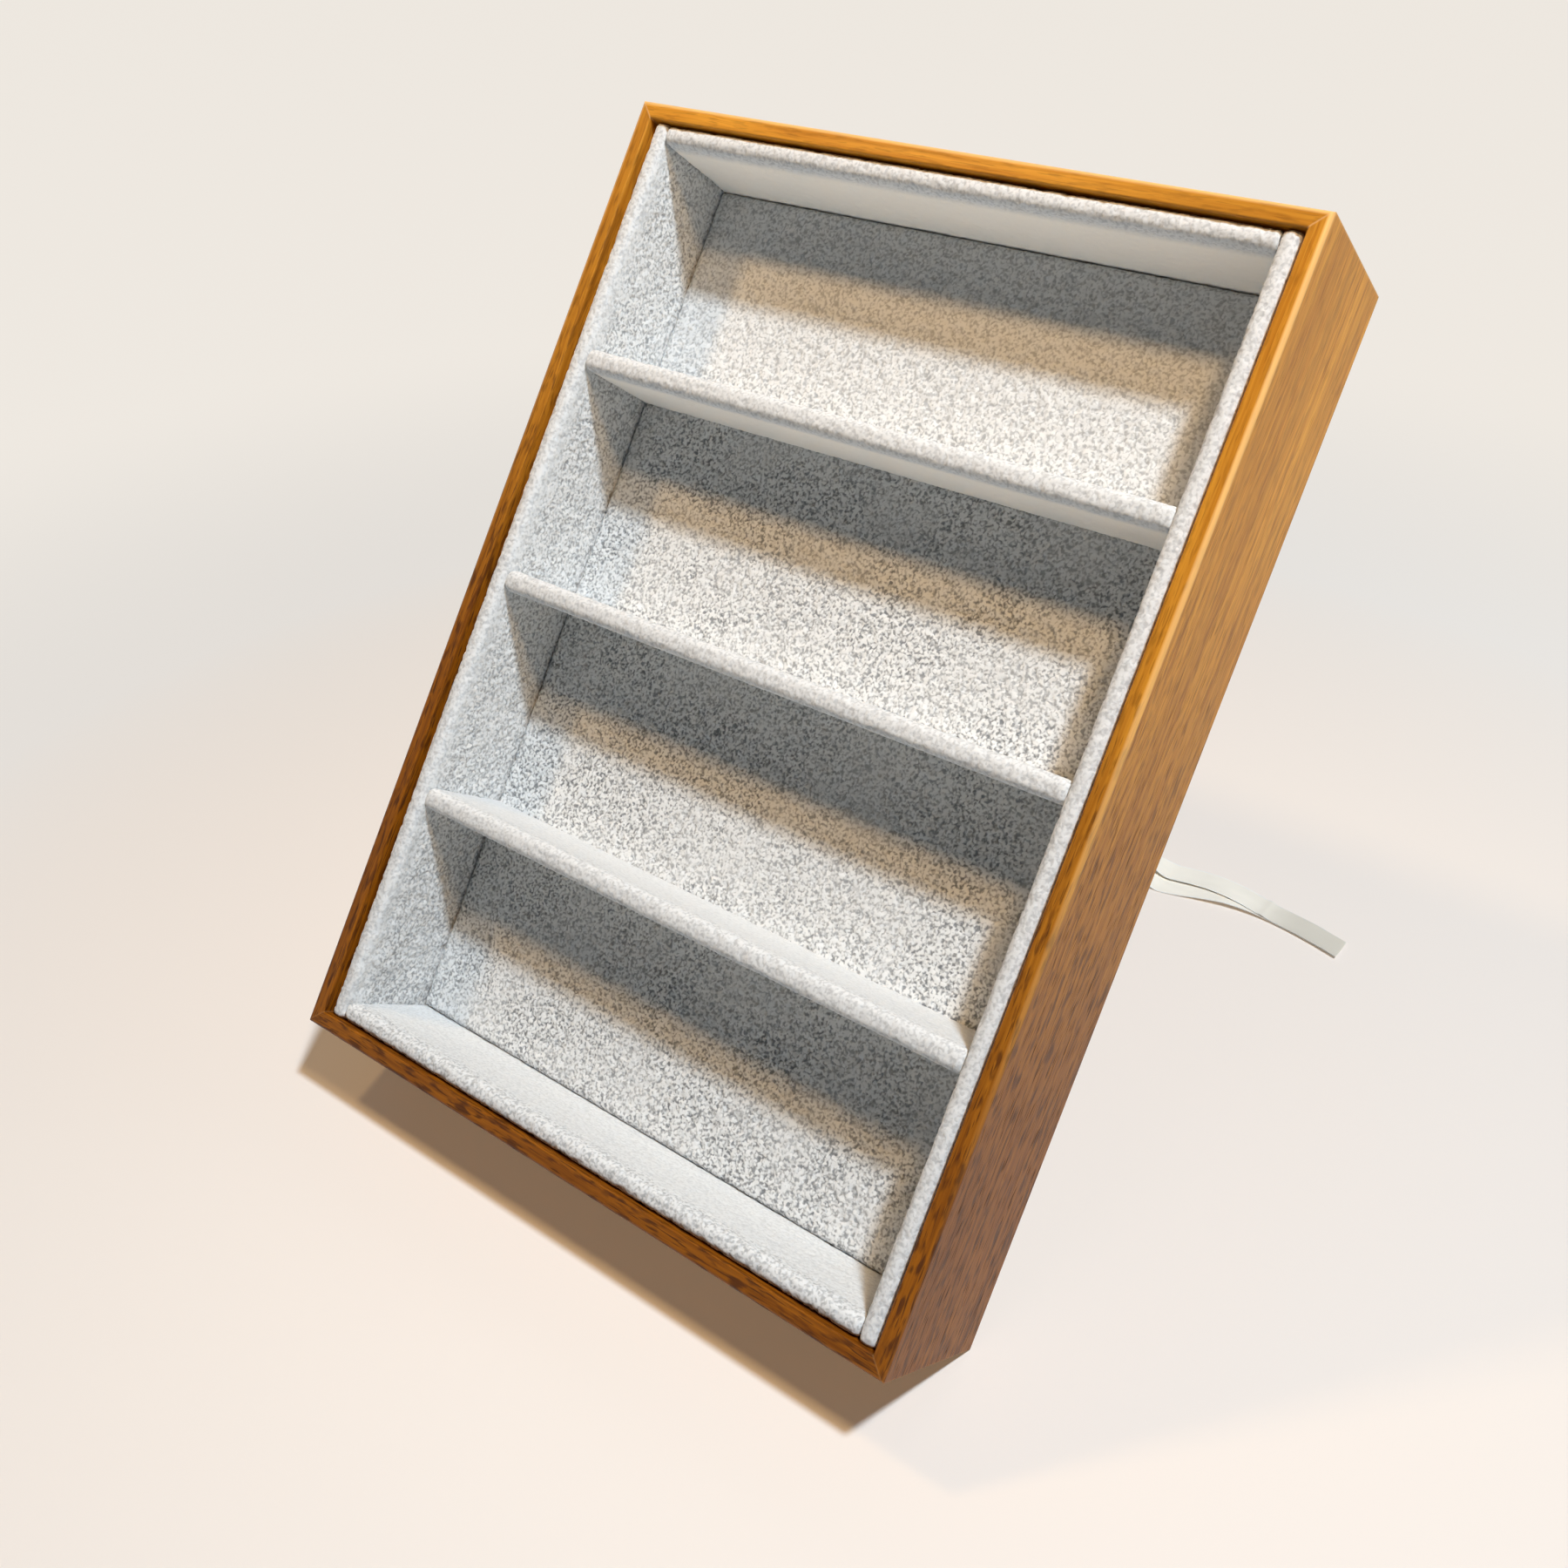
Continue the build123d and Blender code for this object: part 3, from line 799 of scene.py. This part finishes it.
def pull_ribbon():
    """The ribbon, and the length along both its plies. A point of its route has its place along X,
    its side, from -1 on the lower ply to 1 on the upper, and how far the fold bulges there."""
    steps = 130
    fold_steps = 6
    columns = 14
    half_gap = ply_spacing / 2
    reach = ribbon_tip - half_gap - ribbon_ply / 2
    plies = [ribbon_start + step * (reach - ribbon_start) / steps for step in range(steps + 1)]
    turns = [math.pi * step / fold_steps for step in range(1, fold_steps)]
    route = [(x, -1.0, 0.0) for x in plies]
    route += [(reach, -math.cos(turn), math.sin(turn)) for turn in turns]
    route += [(x, 1.0, 0.0) for x in reversed(plies)]
    rows = len(route) - 1
    cloth = fresh_grid("pull_ribbon_satin", columns, rows)
    lines = []
    for x, side, bulge in route:
        middle, width_way, face_way = ribbon_line(x, side > 0)
        if bulge:
            other = ribbon_line(x, side <= 0)[0]
            middle = (middle + other) / 2
        middle = middle + face_way * side * half_gap + across * bulge * half_gap
        lines.append((middle, width_way, face_way))
    shares = []
    end_shading = []
    for vertex in cloth.data.vertices:
        share = vertex.co.x
        row = round((vertex.co.y + 1) / 2 * rows)
        middle, width_way, face_way = lines[row]
        x, side, _ = route[row]
        # The edges curl up towards the fold, and the cloth waves slightly along its length
        curl_up = edge_curl * share * share * ease(x, curl_start, curl_end)
        wave = wave_height * noise.noise(Vector((x / wave_length, share * 1.3, 0.4 * side)))
        point = middle + width_way * share * ribbon_width / 2 + face_way * (curl_up + wave)
        vertex.co = point * mm
        shares.append(share)
        # How much painted shade greys the end
        end_shading.append(ease(x, end_shade_start, end_shade_end))
    write_attribute(cloth, "across", shares)
    write_attribute(cloth, "end_shade", end_shading)
    length = sum((second[0] - first[0]).length for first, second in zip(lines, lines[1:]))
    wall = cloth.modifiers.new("wall", "SOLIDIFY")
    wall.thickness = ribbon_ply * mm
    wall.offset = 0
    bpy.ops.object.modifier_apply(modifier="wall")
    bpy.ops.object.shade_smooth_by_angle(angle=math.radians(50))
    return cloth, length


def satin():
    material, tree, shader = new_material(
        "woven satin", Roughness=0.38, Sheen_Weight=0.15, Sheen_Roughness=0.4, Anisotropic=0.4,
    )
    place = millimetres(tree, Matrix())
    side = add_node(tree, "Attribute", attribute_name="across")
    side = add_node(tree, "Math", {0: side.outputs["Fac"]}, operation="ABSOLUTE")
    # The woven edge is a cord of doubled threads 0.5 mm wide
    edge = add_node(tree, "MapRange", {"Value": side.outputs[0], "From Min": 0.88, "From Max": 0.93})
    shade = add_node(tree, "TexNoise", {"Vector": stretched(tree, place, 16, 5), "Scale": 1, "Detail": 2})
    colour = add_node(tree, "Mix", {
        0: shade.outputs[0], 6: paint("#EFE9DC"), 7: paint("#FFF9EC"),
    }, data_type="RGBA")
    colour = add_node(tree, "Mix", {
        0: edge.outputs[0], 6: colour.outputs[2], 7: paint("#F4F2EC"),
    }, data_type="RGBA")
    # Painted shade greys the folded end
    end_shade_share = add_node(tree, "Attribute", attribute_name="end_shade")
    end_shade_share = add_node(tree, "Math", {0: end_shade_share.outputs["Fac"], 1: 0.7}, operation="MULTIPLY")
    colour = add_node(tree, "Mix", {
        0: end_shade_share.outputs[0], 6: colour.outputs[2], 7: paint("#C6C0B2"),
    }, data_type="RGBA")
    tree.links.new(colour.outputs[2], shader.inputs["Base Color"])
    # Threads 0.3 mm apart, drawn as coarse as they need to show
    threads = add_node(tree, "TexWave", {
        "Vector": place, "Scale": 1.1, "Distortion": 0.6, "Detail": 1,
    }, bands_direction="X")
    height = add_node(tree, "Math", {
        0: edge.outputs[0], 1: 1.5, 2: threads.outputs[1],
    }, operation="MULTIPLY_ADD")
    relief = add_node(tree, "Bump", {"Height": height.outputs[0], "Distance": 0.04 * mm, "Strength": 0.6})
    tree.links.new(relief.outputs[0], shader.inputs["Normal"])
    return material


ribbon, ribbon_length = pull_ribbon()
ribbon.data.materials.append(satin())
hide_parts("pull_ribbon")
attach(ribbon, "leg")

# Floor of the scene: a plain pale table of matt laminate that reaches past the view. It isn't
# part of the object.
table_size = 14
table_drop = 0.05 * mm
bpy.ops.object.select_all(action="DESELECT")
bpy.ops.mesh.primitive_plane_add(size=table_size, location=(0, 0, -table_drop))
table = bpy.context.object
table.name = "pale_floor"
bpy.ops.object.transform_apply()


def seen_directly(tree):
    """1 for what the camera sees, also in a mirror or through glass, and 0 for what only gives light."""
    ray = add_node(tree, "LightPath")
    seen = add_node(tree, "Math", {
        0: ray.outputs["Is Camera Ray"], 1: ray.outputs["Is Glossy Ray"],
    }, operation="MAXIMUM")
    seen = add_node(tree, "Math", {
        0: seen.outputs[0], 1: ray.outputs["Is Transmission Ray"],
    }, operation="MAXIMUM")
    return seen.outputs[0]


def pale_laminate():
    material, tree, shader = new_material("pale laminate", Roughness=0.6)
    shader.inputs["Specular IOR Level"].default_value = 0.25
    place = millimetres(tree, Matrix())
    # A faint cloud 250 mm across
    cloud = add_node(tree, "TexNoise", {"Vector": place, "Scale": 0.004, "Detail": 1})
    colour = add_node(tree, "Mix", {
        0: cloud.outputs[0], 6: paint("#EEEAE6"), 7: paint("#ECEBE9"),
    }, data_type="RGBA")
    tree.links.new(colour.outputs[2], shader.inputs["Base Color"])
    # The floor is seen pale, and as pale away from the box, where the lamps fade, as near it. Close
    # to the box a warm glow is painted over the floor, lightening and warming the box's shadow, for light thrown
    # back by the wood.
    distance = add_node(tree, "VectorMath", {0: place}, operation="LENGTH").outputs["Value"]
    reach = add_node(tree, "MapRange", {
        "Value": distance, "From Min": 150.0, "From Max": 750.0, "To Min": 0.18, "To Max": 0.97,
    }, interpolation_type="SMOOTHSTEP")
    away = add_node(tree, "MapRange", {"Value": distance, "From Min": 150.0, "From Max": 400.0})
    # A warm glow painted over the floor near the box, for light thrown back by the wood
    glow = add_node(tree, "Mix", {
        0: away.outputs[0], 6: paint("#FED6AC"), 7: paint("#F0EAE2"),
    }, data_type="RGBA")
    share = add_node(tree, "Math", {0: seen_directly(tree), 1: reach.outputs[0]}, operation="MULTIPLY")
    glow = add_node(tree, "Emission", {"Color": glow.outputs[2], "Strength": 1.0})
    both = add_node(tree, "MixShader", {0: share.outputs[0], 1: shader.outputs[0], 2: glow.outputs[0]})
    tree.links.new(both.outputs[0], tree.nodes["Material Output"].inputs["Surface"])
    return material


table.data.materials.append(pale_laminate())

# Light: a cool lamp above and to the right, a weaker warm lamp to each side, which gives the
# shadows their warm edges, and a pale room.
box_middle = Vector((0, 0, 0.14))
warm_aim = (0, 0.02, 0.2)


def lamp(name, direction, distance, size, power, code, aim, spread):
    light = bpy.data.lights.new(name, "AREA")
    light.shape = "DISK"
    light.size = size
    light.energy = power
    light.color = paint(code)[:3]
    light.spread = math.radians(spread)
    holder = bpy.data.objects.new(name, light)
    bpy.context.scene.collection.objects.link(holder)
    holder.location = box_middle + Vector(direction).normalized() * distance
    holder.rotation_euler = (holder.location - Vector(aim)).to_track_quat("Z", "Y").to_euler()


lamp("cool_lamp", (0.42, -0.06, 0.907), 2.0, 0.165, 45.0, "#DDEDFB", box_middle, 180)
lamp("right_warm_lamp", (0.45, -0.23, 0.867), 0.9, 0.1, 0.98, "#FFD092", warm_aim, 110)
lamp("left_warm_lamp", (-0.53, -0.23, 0.867), 0.9, 0.1, 0.76, "#FFD092", warm_aim, 110)

world = bpy.data.worlds.new("pale room")
world.use_nodes = True
bpy.context.scene.world = world
sky = world.node_tree
background = sky.nodes["Background"]
# What is seen or mirrored is pale walls under a dimmer ceiling
height = add_node(sky, "SeparateXYZ", {0: add_node(sky, "TexCoord").outputs["Generated"]})
ceiling = add_node(sky, "MapRange", {"Value": height.outputs["Z"], "From Min": 0.25, "From Max": 0.7})
shell = add_node(sky, "Mix", {
    0: ceiling.outputs[0], 6: paint("#EDE8E0"), 7: paint("#6B6A68"),
}, data_type="RGBA")
room = add_node(sky, "Mix", {
    0: seen_directly(sky), 6: paint("#363637"), 7: shell.outputs[2],
}, data_type="RGBA")
sky.links.new(room.outputs[2], background.inputs["Color"])
background.inputs["Strength"].default_value = 1.0

# Camera: above and to the right of the box, as the photograph was taken. Its place was worked out
# from the case's straight edges.
camera = bpy.data.cameras.new("camera")
camera.sensor_width = 36
camera.lens = 36.976
camera.shift_x = -0.04636
camera.shift_y = -0.00323
camera.clip_start = 0.01
viewer = bpy.data.objects.new("camera", camera)
viewer.location = (0.24442, -0.33674, 0.36812)
viewer.rotation_euler = [math.radians(angle) for angle in (56.635, 0, 36.578)]
bpy.context.scene.collection.objects.link(viewer)
bpy.context.scene.camera = viewer
bpy.context.scene.view_settings.view_transform = "Standard"
